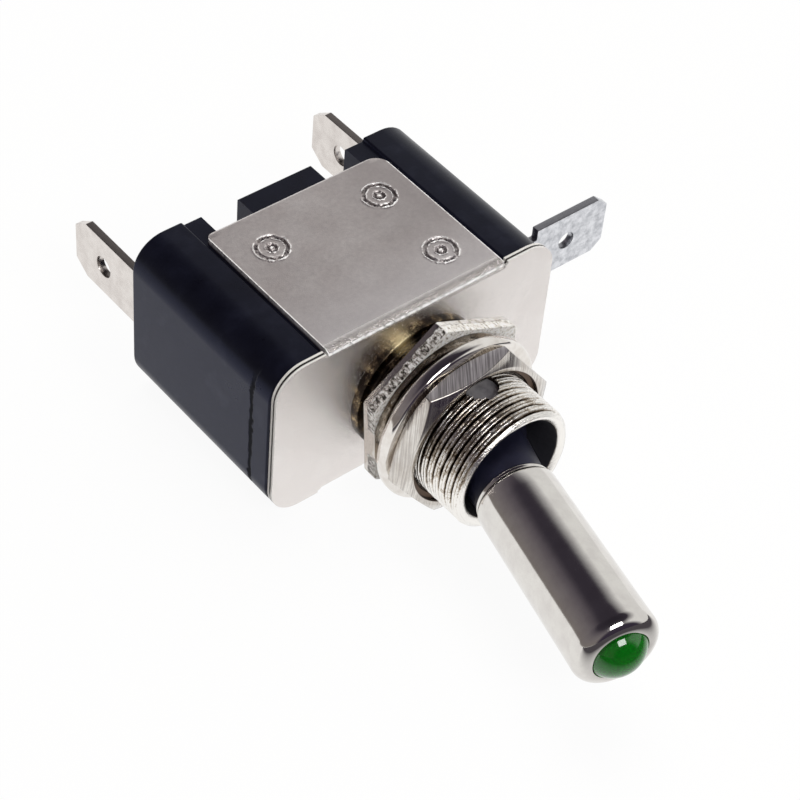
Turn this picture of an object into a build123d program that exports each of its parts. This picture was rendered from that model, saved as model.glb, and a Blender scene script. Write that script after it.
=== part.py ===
from build123d import *
import os
from math import asin, cos, radians, sin, sqrt, tan

# Illuminated toggle switch, in millimetres.
# The origin is on the bushing axis at the panel seat, the front face of the back nut.
# +Y runs into the housing, the lever points along -Y, and +Z is up as the switch lies.

os.makedirs("parts", exist_ok=True)

# Bracket: one plated sheet with a front plate, two straps and four claws
sheet = 0.65
plate_shift = 0.2             # how far the plate sits off the axis, towards the side blade
plate_edge_lip = 0.2          # how far it stands past the housing's top and bottom
plate_corner = 3.0
plate_standoff = 2.6          # bare thread between the back nut and the plate
strap_width = 19.2
strap_proud = 0.25            # how far the straps stand out of the housing
strap_length = 17.4           # from the plate's front face
strap_corner_left = 0.7
strap_corner_right = 2.0
bend_inner = 0.1
relief_width = 0.3            # notches in the plate beside the straps
relief_depth = 0.35           # below the strap's top
claw_width = 3.7
claw_length = 3.1
claw_bulge = 0.25             # how far the claws' bend stands past the strap's end

# Stamped rings on the upper strap, bare inside but for a centre dot
mark_ring_radius = 1.85
mark_line = 0.35
mark_depth = 0.12
mark_dot_radius = 0.5
mark_side = 5.95              # from the axis to the rings' centres
mark_rear = 13.05             # from the plate's front face
mark_front = 4.5

# Bushing
thread_diameter = 12.4
bushing_length = 13.45        # from the plate's front face
bushing_bore = 10.0
mouth_chamfer = 0.45
thread_chamfer = 0.5
collar_diameter = 13.6
collar_thickness = 0.8
spigot_diameter = 11.2
spigot_fit = 0.03
stake_diameter = 12.6
stake_height = 0.5

# Nuts and washer
thread_fit = 0.05
back_nut_flats = 15.5
back_nut_thickness = 1.45
back_nut_corner = 0.5
back_nut_turn = 4.9
back_nut_aside = 0.3          # its outline was blanked this far off its hole, across
back_nut_rise = 0.15          # and upwards
panel_gap = 1.15              # room for the panel as the nuts stand in the photo
washer_diameter = 16.7
washer_hole = 12.7
washer_thickness = 1.25
washer_edge = 0.45
front_nut_flats = 14.8
front_nut_thickness = 2.15
front_nut_turn = -22.6
nut_chamfer_angle = 30.0
nut_counterbore = 13.7
nut_counterbore_depth = 0.5

# Housing mouldings
housing_width = 30.4
housing_height = 16.5
housing_corner = 3.2
block_rise = 2.9              # rear blocks, past the strap's end
seam_depth = 3.0              # from the plate's front face to the seam
seam_groove = 0.25
side_wall = 1.2
recess_gap = 0.4              # beside the strap, each side
end_wall = 2.8                # beside the cavity
face_wall = 2.65              # above and below the cavity
floor_wall = 1.45             # between the cavity and the claws' shoulders
channel_centre = 6.0          # from the axis to the claw channels' centres
channel_gap = 0.15
lip_height = 1.2
lip_wall = 1.0
lip_fit = 0.1
front_hole = 11.4

# Terminals
blade_width = 6.3
blade_thickness = 0.8
blade_inset = 1.7             # from the housing's side to a rear blade's mid plane
blade_reach = 10.85           # rear blades, past the housing
blade_hole = 2.1
blade_hole_from_end = 4.4
blade_tip_long = 1.7
blade_tip_side = 1.2
tab_width = 5.0
slot_fit = 0.1
earth_depth = 5.53            # blade's front face, from the plate's front face
earth_reach = 12.5            # past the housing's side
earth_neck_width = 4.1
earth_neck_reach = 3.8
earth_hole = 1.8
earth_hole_from_end = 4.8
earth_tip_long = 1.2
earth_tip_side = 1.0
earth_inside = 4.5            # from the housing's side wall inwards
earth_foot = 2.4

# Lever
pivot_depth = 5.1             # from the bushing's mouth
lever_swing = 27.0            # whole travel, half to each side
pin_diameter = 3.0
pin_length = 10.9
pin_fit = 0.05
ball_diameter = 8.8
neck_diameter = 6.4
sleeve_root = 7.0             # distances along the lever from the pivot
sleeve_tip = 25.45
core_top = 11.5
core_plug_diameter = 5.9
sleeve_root_diameter = 7.36
sleeve_tip_diameter = 7.82
sleeve_bore = 6.0
sleeve_nose_round = 1.25
sleeve_root_round = 0.5
sleeve_nose_wall = 1.2
lamp_diameter = 4.95
lamp_fit = 0.03
lamp_dome = 1.38
lamp_length = 8.6
lamp_flange_diameter = 5.8
lamp_flange_thickness = 1.0
leg_diameter = 0.5
leg_spacing = 2.54
leg_side = 2.0                # how far the legs pass beside the pin
leg_pitch = 2.0               # between the legs where they pass the pin
leg_end = 4.0                 # past the pivot, inside the bushing
leg_hole = 0.6
tail_diameter = 3.8
tail_short = 1.6              # from the tail's end to the centre of the plunger's nose
plunger_diameter = 2.4
plunger_fit = 0.07
plunger_length = 5.0
plunger_travel = 1.0
spring_seat = 3.6             # from the pivot
spring_wire = 0.3
spring_diameter = 2.1
spring_turns = 9

# Contacts
rocker_tilt = 8.0             # to each side
rocker_thickness = 0.8
rocker_width = 4.4
rocker_dish = 10.6            # width of the dished middle
rocker_reach = 7.8
nose_gap = 0.08
trunnion_diameter = 1.0
trunnion_length = 6.2
trunnion_fit = 0.05
fulcrum_sheet = 0.6
ear_gap = 0.2
ear_width = 2.4
fulcrum_drop = 0.87           # from the trunnions' axis to the fulcrum's base
tip_diameter = 2.0
tip_thickness = 0.6
tip_gap = 0.06
tip_inset = 1.25              # from the rocker's end
post_width = 1.3

# Lamp circuit
resistor_diameter = 2.3
resistor_length = 4.5
resistor_depth = 5.85         # from the plate's front face
resistor_lead_inset = 0.6     # from the load blade's mid plane to the lead beside it
resistor_lead_diameter = 0.5
resistor_stub = 0.9           # from that lead to the resistor's end
wire_diameter = 0.6
wire_splay = 1.4              # how far a wire bends aside and back from its leg's end
wire_drop = 2.6
wire_side = 4.0               # from the axis, where the lower wire enters the housing
wire_turn = 1.4
wire_run = 1.9                # straight, from the resistor's lead to the lower wire's turn
wire_level = 0.6
high_wire_side = 3.2          # from the axis, where the upper wire enters the housing
high_wire_rise = 1.6
high_wire_height = 3.9        # over the plunger
high_wire_depth = 1.7         # past the seam

# Places along Y, worked out from the sizes
plate_front = back_nut_thickness + plate_standoff
plate_back = plate_front + sheet
seam_y = plate_front + seam_depth
mouth_y = plate_front - bushing_length
strap_end = plate_front + strap_length
housing_rear_y = strap_end + block_rise
shoulder_y = strap_end + claw_bulge - sheet
floor_y = shoulder_y - floor_wall
power_tab_front = floor_y - blade_thickness
washer_rear = -panel_gap
washer_front = washer_rear - washer_thickness
front_nut_face = washer_front - front_nut_thickness
pivot_y = mouth_y + pivot_depth
strap_top = housing_height / 2 + strap_proud
recess_floor = strap_top - sheet
recess_width = strap_width + 2 * recess_gap
bend_outer = bend_inner + sheet
plate_height = housing_height + 2 * plate_edge_lip
cavity_width = housing_width - 2 * end_wall
cavity_height = housing_height - 2 * face_wall
blade_x = housing_width / 2 - blade_inset
earth_front = plate_front + earth_depth
half_swing = lever_swing / 2

# The lever's own frame: its Z runs from the pivot to the lamp, its Y is the row's Z
lever_plane = Plane(
    origin=(0, pivot_y, 0),
    x_dir=(cos(radians(half_swing)), -sin(radians(half_swing)), 0),
    z_dir=(-sin(radians(half_swing)), -cos(radians(half_swing)), 0),
)

# The rocker's dish follows the plunger's nose as both turn, so the gap between them stays even
nose_radius = plunger_diameter / 2
nose_height = rocker_thickness + nose_gap + nose_radius
fulcrum_y = power_tab_front - fulcrum_sheet - fulcrum_drop
plunger_reach = fulcrum_y - nose_height - pivot_y
tail_end = plunger_reach - tail_short
swing_x = plunger_reach * sin(radians(half_swing))
swing_y = nose_height + plunger_reach * (1 - cos(radians(half_swing)))
path_x = swing_x * cos(radians(rocker_tilt)) - swing_y * sin(radians(rocker_tilt))
path_y = swing_x * sin(radians(rocker_tilt)) + swing_y * cos(radians(rocker_tilt))
path_rise = path_y - nose_height
path_radius = (path_x ** 2 + path_rise ** 2) / (2 * path_rise)
dish_radius = path_radius + nose_radius + nose_gap
dish_centre = nose_height + path_radius
dish_edge = dish_centre - sqrt(dish_radius ** 2 - (rocker_dish / 2) ** 2)
arm_rise = tan(radians(rocker_tilt))
tip_x = rocker_reach - tip_inset
arm_under = dish_edge + (tip_x - rocker_dish / 2) * arm_rise - rocker_thickness

# Where the arm's underside and the silver tips meet when the switch is on
closed_x = tip_x * cos(radians(rocker_tilt)) + arm_under * sin(radians(rocker_tilt))
closed_y = fulcrum_y - arm_under * cos(radians(rocker_tilt)) + tip_x * sin(radians(rocker_tilt))
fixed_tip_face = closed_y + tip_thickness + tip_gap
load_tab_front = fixed_tip_face + tip_thickness


def along_y(sketch, y_start, y_end):
    # A sketch in X and Z, given as seen from the front, made solid between two places on Y
    plane = Plane(origin=(0, y_start, 0), x_dir=(1, 0, 0), z_dir=(0, -1, 0))
    return extrude(plane * sketch, -(y_end - y_start))


def box_between(x_range, y_range, z_range):
    x_low, x_high = x_range
    y_low, y_high = y_range
    z_low, z_high = z_range
    centre = ((x_low + x_high) / 2, (y_low + y_high) / 2, (z_low + z_high) / 2)
    return Pos(*centre) * Box(x_high - x_low, y_high - y_low, z_high - z_low)


def rod_y(x, z, diameter, y_start, y_end):
    return along_y(Pos(x, z) * Circle(diameter / 2), y_start, y_end)


def on_lever(shape):
    return lever_plane.from_local_coords(shape)


def lever_rod(x, y, diameter, start, end):
    # A rod or a hole's space along the lever, in the lever's own frame
    rod = extrude(Plane.XY.offset(start) * Pos(x, y) * Circle(diameter / 2), end - start)
    return rod


def turned_on_lever(points, *extra):
    # Revolves a half section given as radius and distance from the pivot
    outline = Plane.XZ * make_face(Polyline(*points, close=True))
    return revolve(outline, Axis.Z)


def claw_sides():
    return [(side, up) for side in (-1, 1) for up in (-1, 1)]


def mounting_bracket():
    # The folded strap is one section along X; the ears are the plate beside it
    far = strap_end + plate_height
    outer = box_between((-strap_width / 2, strap_width / 2), (plate_front, far), (-strap_top, strap_top))
    outer = fillet(outer.edges().filter_by(Axis.X).group_by(Axis.Y)[0], bend_outer)
    inner = box_between(
        (-strap_width, strap_width), (plate_back, far + sheet), (-recess_floor, recess_floor)
    )
    inner = fillet(inner.edges().filter_by(Axis.X).group_by(Axis.Y)[0], bend_inner)
    heights = (-plate_height, plate_height)
    cut_off = box_between((-strap_width, strap_width), (strap_end, far + sheet), heights)
    straps = outer - inner - cut_off
    for side, corner in ((-1, strap_corner_left), (1, strap_corner_right)):
        rear = straps.edges().filter_by(Axis.Z).group_by(Axis.Y)[-1]
        straps = fillet([e for e in rear if e.center().X * side > 0], corner)

    plate = Pos(plate_shift, 0) * RectangleRounded(housing_width, plate_height, plate_corner)
    ears = along_y(plate, plate_front, plate_back)
    cuts = (
        (strap_width / 2, strap_top - bend_outer),
        (strap_width / 2 + relief_width, strap_top - relief_depth),
    )
    for half, low in cuts:
        for up in (-1, 1):
            heights = sorted((up * low, up * plate_height))
            ears -= box_between((-half, half), (plate_front - sheet, plate_back + sheet), heights)
    bracket = straps + ears

    for side, up in claw_sides():
        middle = side * channel_centre
        heights = sorted((up * (strap_top - claw_length), up * strap_top))
        claw = box_between(
            (middle - claw_width / 2, middle + claw_width / 2),
            (strap_end + claw_bulge - bend_outer - sheet, strap_end + claw_bulge),
            heights,
        )
        rear_edges = claw.edges().filter_by(Axis.X).group_by(Axis.Y)[-1]
        bend_edge = rear_edges.sort_by(Axis.Z)[-1 if up > 0 else 0]
        claw = fillet(bend_edge, bend_outer)
        under = sorted((up * (strap_top - 2 * claw_length), up * recess_floor))
        claw -= box_between((-strap_width, strap_width), (plate_front, shoulder_y), under)
        bracket += claw

    bracket -= rod_y(0, 0, spigot_diameter + 2 * spigot_fit, plate_front - sheet, plate_back + sheet)
    for x, y in ((-mark_side, mark_rear), (mark_side, mark_rear), (mark_side, mark_front)):
        ring = Circle(mark_ring_radius) - Circle(mark_ring_radius - mark_line) + Circle(mark_dot_radius)
        spot = Plane.XY.offset(strap_top - mark_depth) * Pos(x, plate_front + y) * ring
        bracket -= extrude(spot, 2 * mark_depth)
    return bracket


def threaded_bushing():
    collar_front = plate_front - collar_thickness
    stake_end = plate_back + stake_height
    body = rod_y(0, 0, thread_diameter, mouth_y, collar_front)
    body = chamfer(body.edges().filter_by(GeomType.CIRCLE).sort_by(Axis.Y)[0], thread_chamfer)
    body += rod_y(0, 0, collar_diameter, collar_front, plate_front)
    body += rod_y(0, 0, spigot_diameter, plate_front, plate_back)
    body += rod_y(0, 0, stake_diameter, plate_back, stake_end)
    bore = rod_y(0, 0, bushing_bore, mouth_y - bushing_bore, stake_end + bushing_bore)
    body -= bore
    mouth = body.edges().filter_by(GeomType.CIRCLE).group_by(Axis.Y)[0].sort_by(SortBy.RADIUS)[0]
    body = chamfer(mouth, mouth_chamfer)
    body -= Pos(0, pivot_y, 0) * Cylinder(pin_diameter / 2, 2 * thread_diameter)
    return body


def hexagon(flats, turn):
    return Rot(0, 0, turn) * RegularPolygon(flats / 2, 6, major_radius=False, rotation=90)


def back_nut():
    outline = Pos(back_nut_aside, back_nut_rise) * hexagon(back_nut_flats, back_nut_turn)
    nut = along_y(outline, 0, back_nut_thickness)
    nut = fillet(nut.edges().filter_by(Axis.Y), back_nut_corner)
    return nut - rod_y(0, 0, thread_diameter + 2 * thread_fit, -plate_front, plate_front)


def panel_washer():
    washer = rod_y(0, 0, washer_diameter, washer_front, washer_rear)
    washer = fillet(washer.edges().filter_by(GeomType.CIRCLE), washer_edge)
    return washer - rod_y(0, 0, washer_hole, washer_front - sheet, washer_rear + sheet)


def front_nut():
    # The chamfers are cones that cut the corners back on both faces
    nut = along_y(hexagon(front_nut_flats, front_nut_turn), front_nut_face, washer_front)
    corner = front_nut_flats / sqrt(3)
    face = front_nut_flats / 2 * 0.985
    drop = (corner - face) * tan(radians(nut_chamfer_angle))
    half = front_nut_thickness / 2
    reach = corner + drop / tan(radians(nut_chamfer_angle))
    low = half - (reach - face) * tan(radians(nut_chamfer_angle))
    points = [(0, -half), (face, -half), (reach, -low), (reach, low), (face, half), (0, half)]
    cone = revolve(Plane.XZ * make_face(Polyline(*points, close=True)), Axis.Z)
    cone = Pos(0, (front_nut_face + washer_front) / 2, 0) * Rot(90, 0, 0) * cone
    nut = nut & cone
    nut -= rod_y(0, 0, thread_diameter + 2 * thread_fit, front_nut_face - sheet, washer_front + sheet)
    nut -= rod_y(0, 0, nut_counterbore, front_nut_face - sheet, front_nut_face + nut_counterbore_depth)
    return nut


def housing_block(y_start, y_end):
    block = along_y(RectangleRounded(housing_width, housing_height, housing_corner), y_start, y_end)
    for up in (-1, 1):
        heights = sorted((up * recess_floor, up * housing_height))
        across = (-recess_width / 2, recess_width / 2)
        block -= box_between(across, (y_start - sheet, y_end + sheet), heights)
    return block


def seam_cut(y):
    # A shallow groove round the outside where the two mouldings meet
    width = housing_width - 2 * seam_groove
    height = housing_height - 2 * seam_groove
    keep = RectangleRounded(width, height, housing_corner - seam_groove)
    ring = RectangleRounded(housing_width + sheet, housing_height + sheet, housing_corner) - keep
    return along_y(ring, y - seam_groove / 2, y + seam_groove / 2)


def earth_notch(fit):
    wall_inside = housing_width / 2 - side_wall
    half = earth_neck_width / 2 + fit
    return (wall_inside - fit, housing_width), (-half, half)


def housing_front():
    cover = housing_block(plate_back, seam_y)
    corners = cover.edges().filter_by(Axis.X).group_by(Axis.Y)[0]
    corners = [e for e in corners if abs(abs(e.center().Z) - recess_floor) < 0.01]
    cover = chamfer(corners, bend_inner + bend_inner / 4)
    cover -= seam_cut(seam_y)
    lip = Rectangle(cavity_width - 2 * lip_fit, cavity_height - 2 * lip_fit)
    inset = 2 * lip_fit + 2 * lip_wall
    lip -= Rectangle(cavity_width - inset, cavity_height - inset)
    cover += along_y(lip, seam_y, seam_y + lip_height)
    tongue_half = earth_neck_width / 2 - slot_fit
    cover += box_between(
        (housing_width / 2 - side_wall + slot_fit, housing_width / 2 - seam_groove),
        (seam_y - seam_groove, earth_front - slot_fit),
        (-tongue_half, tongue_half),
    )
    cover -= rod_y(0, 0, front_hole, plate_front, seam_y + sheet)
    stake_end = plate_back + stake_height + slot_fit
    cover -= rod_y(0, 0, stake_diameter + 2 * slot_fit, plate_front, stake_end)
    return cover


def housing_rear():
    shell = housing_block(seam_y, housing_rear_y)
    shell -= seam_cut(seam_y)
    shell -= box_between(
        (-cavity_width / 2, cavity_width / 2),
        (seam_y - sheet, floor_y),
        (-cavity_height / 2, cavity_height / 2),
    )
    # Side pockets take the blades where they turn inwards
    pocket_x = housing_width / 2 - side_wall
    pocket_half = blade_width / 2 + slot_fit
    shell -= box_between((-pocket_x, pocket_x), (seam_y - sheet, floor_y), (-pocket_half, pocket_half))
    # A ledge carries the load terminal's tab
    ledge_end = -(tip_x - tip_diameter)
    ledge_y = load_tab_front + blade_thickness
    shell += box_between(
        (-cavity_width / 2, ledge_end), (ledge_y, floor_y), (-cavity_height / 2, cavity_height / 2)
    )
    # A post stops the rocker's other arm and locates the power terminal
    post_half = post_width / 2
    shell += box_between(
        (closed_x - post_half, closed_x + post_half),
        (closed_y + tip_gap, floor_y + sheet),
        (-post_half, post_half),
    )
    slot_half = blade_thickness / 2 + slot_fit
    channel_half = claw_width / 2 + channel_gap
    for side in (-1, 1):
        shell -= box_between(
            (side * blade_x - slot_half, side * blade_x + slot_half),
            (seam_y, housing_rear_y + sheet),
            (-pocket_half, pocket_half),
        )
        shell -= box_between(
            (side * channel_centre - channel_half, side * channel_centre + channel_half),
            (shoulder_y, housing_rear_y + sheet),
            (-housing_height, housing_height),
        )
    x_range, z_range = earth_notch(slot_fit)
    shell -= box_between(x_range, (seam_y - sheet, earth_front + blade_thickness + slot_fit / 2), z_range)
    return shell


def blade_outline(length, tip_long, tip_side, hole, hole_from_end):
    # A flat blade along local X, its end chamfered at both corners, with its hole
    half = blade_width / 2
    outline = make_face(Polyline(
        (0, -half), (length - tip_long, -half), (length, -half + tip_side),
        (length, half - tip_side), (length - tip_long, half), (0, half), close=True,
    ))
    return outline - Pos(length - hole_from_end, 0) * Circle(hole / 2)


def rear_blade(side, tab_front):
    # The blade stands along Y with its thickness along X
    start_x = side * blade_x - blade_thickness / 2
    length = housing_rear_y + blade_reach - tab_front
    plane = Plane(origin=(start_x, tab_front, 0), x_dir=(0, 1, 0), z_dir=(1, 0, 0))
    outline = blade_outline(length, blade_tip_long, blade_tip_side, blade_hole, blade_hole_from_end)
    return extrude(plane * outline, blade_thickness)


def terminal_load():
    outer = -blade_x - blade_thickness / 2
    blade = rear_blade(-1, load_tab_front)
    tab_end = -(tip_x - tip_diameter)
    tab_half = tab_width / 2
    blade += box_between(
        (outer, tab_end), (load_tab_front, load_tab_front + blade_thickness), (-tab_half, tab_half)
    )
    return blade


def terminal_power():
    outer = blade_x + blade_thickness / 2
    blade = rear_blade(1, power_tab_front)
    tab_half = tab_width / 2
    blade += box_between(
        (-ear_width, outer), (power_tab_front, power_tab_front + blade_thickness), (-tab_half, tab_half)
    )
    window = post_width / 2 + slot_fit
    blade -= box_between(
        (closed_x - window, closed_x + window), (fulcrum_y, housing_rear_y), (-window, window)
    )
    return blade


def terminal_earth():
    # The blade is full width outside and necks down where it passes the wall
    neck_start = housing_width / 2 - earth_inside
    shoulder_x = housing_width / 2 + earth_neck_reach
    end_x = housing_width / 2 + earth_reach
    half = earth_neck_width / 2
    outline = blade_outline(
        end_x - shoulder_x, earth_tip_long, earth_tip_side, earth_hole, earth_hole_from_end
    )
    outline = Pos(shoulder_x, 0) * outline
    neck = make_face(Polyline(
        (neck_start, -half), (shoulder_x, -half), (shoulder_x, half), (neck_start, half), close=True
    ))
    blade = along_y(outline + neck, earth_front, earth_front + blade_thickness)
    blade += box_between(
        (neck_start, neck_start + blade_thickness),
        (earth_front, earth_front + earth_foot),
        (-half, half),
    )
    return blade


def pivot_pin():
    return Pos(0, pivot_y, 0) * Cylinder(pin_diameter / 2, pin_length)


def toggle_core():
    # Plug in the sleeve, neck, ball at the pivot and hollow tail
    plug = core_plug_diameter / 2
    neck = neck_diameter / 2
    tail = tail_diameter / 2
    ball_radius = ball_diameter / 2
    core = turned_on_lever([
        (0, 0), (ball_radius - 0.6, 0), (neck, sleeve_root),
        (plug, sleeve_root), (plug, core_top), (0, core_top),
    ])
    core += Sphere(ball_radius)
    core += lever_rod(0, 0, tail_diameter, -tail_end, 0)
    core -= Rot(90, 0, 0) * Cylinder(pin_diameter / 2 + pin_fit, 2 * ball_diameter)
    core -= lever_rod(0, 0, plunger_diameter + 2 * plunger_fit, -tail_end - tail, -spring_seat)
    for side in (-1, 1):
        core -= lever_rod(-leg_side, side * leg_pitch / 2, leg_hole, -tail_end, core_top + plug)
    return on_lever(core)


def toggle_sleeve():
    # A tapered tube: its root edge is rolled in and its nose rounded round the lamp
    root = sleeve_root_diameter / 2
    tip = sleeve_tip_diameter / 2
    bore = sleeve_bore / 2
    lamp_hole = lamp_diameter / 2 + lamp_fit
    sleeve = turned_on_lever([
        (bore, sleeve_root), (root, sleeve_root), (tip, sleeve_tip), (lamp_hole, sleeve_tip),
        (lamp_hole, sleeve_tip - sleeve_nose_wall), (bore, sleeve_tip - sleeve_nose_wall),
    ])
    circles = sleeve.edges().filter_by(GeomType.CIRCLE)
    nose = [e for e in circles if abs(e.radius - tip) < 0.01][0]
    sleeve = fillet(nose, sleeve_nose_round)
    circles = sleeve.edges().filter_by(GeomType.CIRCLE)
    heel = [e for e in circles if abs(e.radius - root) < 0.01][0]
    sleeve = fillet(heel, sleeve_root_round)
    return on_lever(sleeve)


def led_lamp():
    # A dome, a straight body and the flange that the sleeve's nose holds in
    radius = lamp_diameter / 2
    cap = (radius ** 2 + lamp_dome ** 2) / (2 * lamp_dome)
    back = sleeve_tip + lamp_dome - lamp_length
    lamp = lever_rod(0, 0, lamp_diameter, back, sleeve_tip + lamp_dome)
    dome = Pos(0, 0, sleeve_tip + lamp_dome - cap) * Sphere(cap)
    lamp = lamp & (dome + lever_rod(0, 0, 2 * lamp_diameter, back - 1, sleeve_tip))
    lamp += lever_rod(0, 0, lamp_flange_diameter, back, back + lamp_flange_thickness)
    return on_lever(lamp)


def swept_wire(points, diameter, bend):
    path = FilletPolyline(*points, radius=bend)
    start = path % 0
    return sweep(Plane(origin=path @ 0, z_dir=start) * Circle(diameter / 2), path=path)


def led_leg(side):
    back = sleeve_tip + lamp_dome - lamp_length
    points = [
        (0, side * leg_spacing / 2, back),
        (0, side * leg_spacing / 2, back - leg_diameter * 3),
        (-leg_side, side * leg_pitch / 2, core_top + leg_diameter * 2),
        (-leg_side, side * leg_pitch / 2, -leg_end),
    ]
    return on_lever(swept_wire(points, leg_diameter, leg_diameter * 1.5))


def plunger():
    body = lever_rod(0, 0, plunger_diameter, -plunger_reach, -plunger_reach + plunger_length)
    body += Pos(0, 0, -plunger_reach) * Sphere(plunger_diameter / 2)
    return on_lever(body)


def plunger_spring():
    # A round wire coil between the bore's end and the plunger
    top = -spring_seat - spring_wire / 2
    bottom = -plunger_reach + plunger_length + spring_wire / 2
    height = top - bottom
    radius = (spring_diameter - spring_wire) / 2
    path = Pos(0, 0, bottom) * Helix(height / spring_turns, height, radius)
    section = Plane(origin=path @ 0, z_dir=path % 0) * Circle(spring_wire / 2)
    return on_lever(sweep(section, path=path, is_frenet=True))


def rocker_profile():
    # Drawn with the fulcrum at the origin and the lever's side up
    half = rocker_dish / 2
    under_radius = dish_radius + rocker_thickness
    under_edge = dish_centre - sqrt(under_radius ** 2 - half ** 2)
    end_top = dish_edge + (rocker_reach - half) * arm_rise
    top = ThreePointArc((-half, dish_edge), (0, rocker_thickness), (half, dish_edge))
    under = ThreePointArc((half, under_edge), (0, 0), (-half, under_edge))
    right = Polyline(
        (half, dish_edge), (rocker_reach, end_top), (rocker_reach, end_top - rocker_thickness),
        (half, dish_edge - rocker_thickness), (half, under_edge),
    )
    left = Polyline(
        (-half, under_edge), (-half, dish_edge - rocker_thickness),
        (-rocker_reach, end_top - rocker_thickness), (-rocker_reach, end_top), (-half, dish_edge),
    )
    return make_face([top, right, under, left])


def at_fulcrum(shape, turn):
    # From the profile's frame, with the lever's side up, to the row's frame
    return Pos(0, fulcrum_y, 0) * Rot(0, 0, turn) * Rot(180, 0, 0) * shape


def rocker_contact():
    bar = extrude(rocker_profile(), rocker_width / 2, both=True)
    bar += Cylinder(trunnion_diameter / 2, trunnion_length)
    return at_fulcrum(bar, rocker_tilt)


def moving_contact_tip():
    # Made where it meets the fixed tip, then turned back to rest with the rocker
    tip = rod_y(-closed_x, 0, tip_diameter, closed_y, closed_y + tip_thickness)
    return Pos(0, fulcrum_y, 0) * Rot(0, 0, 2 * rocker_tilt) * Pos(0, -fulcrum_y, 0) * tip


def fixed_contact_tip():
    return rod_y(-closed_x, 0, tip_diameter, fixed_tip_face, load_tab_front)


def fulcrum_bracket():
    base_front = fulcrum_y + fulcrum_drop
    ear_inside = rocker_width / 2 + ear_gap
    ear_outside = ear_inside + fulcrum_sheet
    bracket = box_between(
        (-ear_width / 2, ear_width / 2), (base_front, power_tab_front), (-ear_outside, ear_outside)
    )
    notch = trunnion_diameter / 2 + trunnion_fit
    for up in (-1, 1):
        heights = sorted((up * ear_inside, up * ear_outside))
        across = (-ear_width / 2, ear_width / 2)
        bracket += box_between(across, (fulcrum_y - notch, power_tab_front), heights)
    bracket -= Pos(0, fulcrum_y, 0) * Cylinder(notch, 2 * trunnion_length)
    heights = (-trunnion_length, trunnion_length)
    bracket -= box_between((-notch, notch), (fulcrum_y - ear_width, fulcrum_y), heights)
    return bracket


def resistor_middle():
    middle = blade_x - resistor_lead_inset - resistor_stub - resistor_length / 2
    return Vector(-middle, plate_front + resistor_depth, 0)


def series_resistor():
    body = resistor_middle()
    resistor = Pos(*body) * Rot(0, 90, 0) * Cylinder(resistor_diameter / 2, resistor_length)
    return fillet(resistor.edges(), resistor_diameter / 6)


def resistor_leads():
    body = resistor_middle()
    left = body.X - resistor_length / 2
    right = body.X + resistor_length / 2
    bend = resistor_lead_diameter
    down_x = left - resistor_stub
    down = swept_wire(
        [(left, body.Y, 0), (down_x, body.Y, 0), (down_x, load_tab_front, 0)],
        resistor_lead_diameter, bend,
    )
    short = Pos(right + bend, body.Y, 0) * Rot(0, 90, 0) * Cylinder(resistor_lead_diameter / 2, 2 * bend)
    return Compound([down, short])


def leg_exit(side):
    return lever_plane.from_local_coords(Vector(-leg_side, side * leg_pitch / 2, -leg_end))


def anode_wire():
    start = leg_exit(-1)
    body = resistor_middle()
    lead_end = body.X + resistor_length / 2 + 2 * resistor_lead_diameter
    turn_x = lead_end + wire_run
    points = [
        (start.X, start.Y, start.Z),
        (start.X - wire_splay, start.Y + wire_drop, start.Z),
        (-wire_side, plate_back + wire_diameter, start.Z),
        (turn_x + wire_diameter, body.Y - wire_turn, -wire_level),
        (turn_x, body.Y, 0),
        (lead_end, body.Y, 0),
    ]
    return swept_wire(points, wire_diameter, wire_diameter)


def cathode_wire():
    start = leg_exit(1)
    over = high_wire_height
    across_y = seam_y + high_wire_depth
    neck_start = housing_width / 2 - earth_inside
    points = [
        (start.X, start.Y, start.Z),
        (start.X - wire_splay, start.Y + wire_drop, start.Z + wire_level),
        (-high_wire_side, plate_back + wire_diameter, over - wire_splay),
        (-high_wire_rise, across_y, over),
        (neck_start - wire_drop, across_y, over),
        (neck_start + wire_level, earth_front - wire_turn / 2, 2 * wire_level),
        (neck_start + wire_level, earth_front, 2 * wire_level),
    ]
    return swept_wire(points, wire_diameter, wire_diameter)


pieces = {
    "mounting_bracket": mounting_bracket,
    "threaded_bushing": threaded_bushing,
    "back_nut": back_nut,
    "panel_washer": panel_washer,
    "front_nut": front_nut,
    "housing_rear": housing_rear,
    "housing_front": housing_front,
    "terminal_load": terminal_load,
    "terminal_power": terminal_power,
    "terminal_earth": terminal_earth,
    "toggle_core": toggle_core,
    "toggle_sleeve": toggle_sleeve,
    "led_lamp": led_lamp,
    "led_anode_lead": lambda: led_leg(-1),
    "led_cathode_lead": lambda: led_leg(1),
    "pivot_pin": pivot_pin,
    "plunger": plunger,
    "plunger_spring": plunger_spring,
    "rocker_contact": rocker_contact,
    "moving_contact_tip": moving_contact_tip,
    "fixed_contact_tip": fixed_contact_tip,
    "fulcrum_bracket": fulcrum_bracket,
    "series_resistor": series_resistor,
    "resistor_leads": resistor_leads,
    "anode_wire": anode_wire,
    "cathode_wire": cathode_wire,
}

for node, make in pieces.items():
    export_step(make(), f"parts/{node}.step")
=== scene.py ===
from functools import partial
from math import atan2, cos, hypot, pi, radians, sin, sqrt, tan
import bmesh
import bpy
from mathutils import Matrix, Vector, noise


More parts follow.
